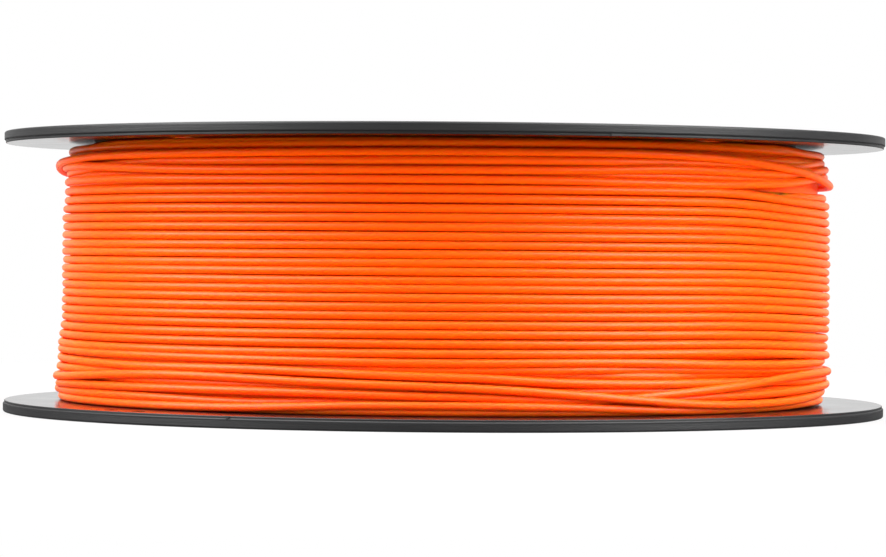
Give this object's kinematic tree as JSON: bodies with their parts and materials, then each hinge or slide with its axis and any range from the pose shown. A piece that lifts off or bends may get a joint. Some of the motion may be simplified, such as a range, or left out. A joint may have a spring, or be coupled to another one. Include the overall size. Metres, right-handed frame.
{
  "type": "filament spool",
  "caption": "Round plastic spool with thin flanges and a ribbed hub, wound full of filament for a 3-D printer; it turns on a holder through its central bore.",
  "frame": {"origin": "centre of the lower flange's outer face, which the spool lies on", "axes": "+Z along the spool's axis, from the lower flange to the upper; -Y is the side seen from the front; +X is to the right seen from there"},
  "size_m": [0.2, 0.2, 0.063],
  "materials": {
    "flange_plastic": "satin rim, polished inner faces",
    "hub_plastic": "fine moulded texture",
    "filament": "smooth extruded, soft gloss"
  },
  "bodies": {
    "root": {"lower_flange": "flange_plastic", "upper_flange": "flange_plastic", "hub_barrel": "hub_plastic", "filament_core": "filament", "filament_winding": "filament"}
  },
  "joints": []
}
